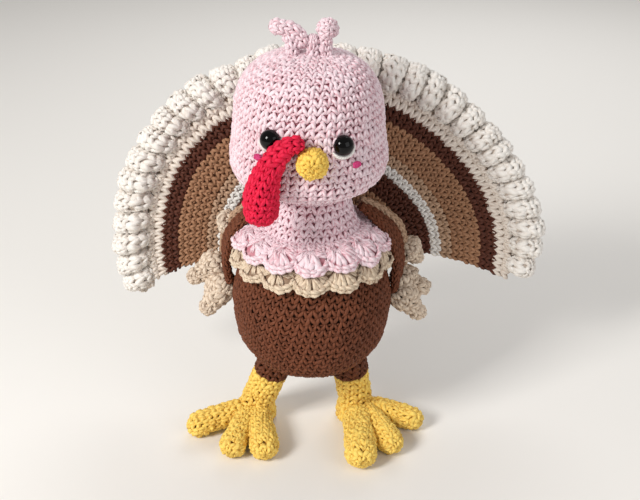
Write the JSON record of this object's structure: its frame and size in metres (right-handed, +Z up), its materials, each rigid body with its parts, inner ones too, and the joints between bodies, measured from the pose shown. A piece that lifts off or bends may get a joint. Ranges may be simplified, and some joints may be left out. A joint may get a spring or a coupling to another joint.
{
  "type": "crocheted turkey figure",
  "caption": "Stuffed crocheted turkey that stands on two big feet, with a striped fan tail, wings that lift and a snood that swings.",
  "frame": {"origin": "on the floor, under the middle of the whole figure", "axes": "+Z up, the turkey looks along -Y, and left and right in the names are as seen from the front, so left is at -X"},
  "size_m": [0.2578, 0.1032, 0.2485],
  "materials": {
    "beige_yarn": "soft crocheted cotton, matt",
    "brown_yarn": "soft crocheted cotton, matt",
    "cream_yarn": "chunky cotton, matt",
    "dark_brown_yarn": "soft crocheted cotton, matt",
    "eye_plastic": "polished",
    "pink_yarn": "soft crocheted cotton, matt",
    "red_yarn": "soft crocheted cotton, matt",
    "rose_yarn": "embroidery cotton",
    "stuffing": "loose polyester fibre",
    "tan_yarn": "soft crocheted cotton, matt",
    "washer_plastic": "moulded",
    "white_yarn": "soft crocheted cotton, matt",
    "yellow_yarn": "soft crocheted cotton, matt",
    "zinc_wire": "galvanised"
  },
  "bodies": {
    "root": {"left_eye": "eye_plastic", "left_eye_washer": "washer_plastic", "left_eye_white": "white_yarn", "left_cheek": "rose_yarn", "right_eye": "eye_plastic", "right_eye_washer": "washer_plastic", "right_eye_white": "white_yarn", "right_cheek": "rose_yarn", "head_shell": "pink_yarn", "head_stuffing": "stuffing", "beak": "yellow_yarn", "tuft_middle": "pink_yarn", "tuft_left": "pink_yarn", "tuft_right": "pink_yarn", "left_leg_wire": "zinc_wire", "left_leg": "yellow_yarn", "left_leg_cuff": "dark_brown_yarn", "left_foot": "yellow_yarn", "left_toe_inner": "yellow_yarn", "left_toe_middle": "yellow_yarn", "left_toe_outer": "yellow_yarn", "right_leg_wire": "zinc_wire", "right_leg": "yellow_yarn", "right_leg_cuff": "dark_brown_yarn", "right_foot": "yellow_yarn", "right_toe_inner": "yellow_yarn", "right_toe_middle": "yellow_yarn", "right_toe_outer": "yellow_yarn", "body_shell": "brown_yarn", "neck": "pink_yarn", "body_stuffing": "stuffing", "pink_collar": "pink_yarn", "beige_collar": "beige_yarn", "fan_core": "tan_yarn", "fan_ring_inner_brown": "dark_brown_yarn", "fan_ring_white": "white_yarn", "fan_ring_tan": "tan_yarn", "fan_ring_outer_brown": "dark_brown_yarn", "fan_ring_cream": "cream_yarn", "fan_ruffle": "cream_yarn"},
    "left_wing": {"left_wing": "brown_yarn", "left_wing_rim": "tan_yarn", "left_feather_1": "beige_yarn", "left_feather_2": "beige_yarn", "left_feather_3": "beige_yarn"},
    "right_wing": {"right_wing": "brown_yarn", "right_wing_rim": "tan_yarn", "right_feather_1": "beige_yarn", "right_feather_2": "beige_yarn", "right_feather_3": "beige_yarn"},
    "snood": {"snood": "red_yarn"}
  },
  "joints": [
    {"name": "left_wing_lift", "type": "hinge", "parent": "root", "child": "left_wing", "pos_m": [-0.03689, 0.00385, 0.1432], "axis": [0, 1, 0], "range_deg": [0, 60]},
    {"name": "right_wing_lift", "type": "hinge", "parent": "root", "child": "right_wing", "pos_m": [0.01589, 0.00385, 0.1432], "axis": [0, -1, 0], "range_deg": [0, 60]},
    {"name": "snood_swing", "type": "hinge", "parent": "root", "child": "snood", "pos_m": [-0.01567, -0.04154, 0.1966], "axis": [-1, 0, 0], "range_deg": [0, 70]}
  ]
}
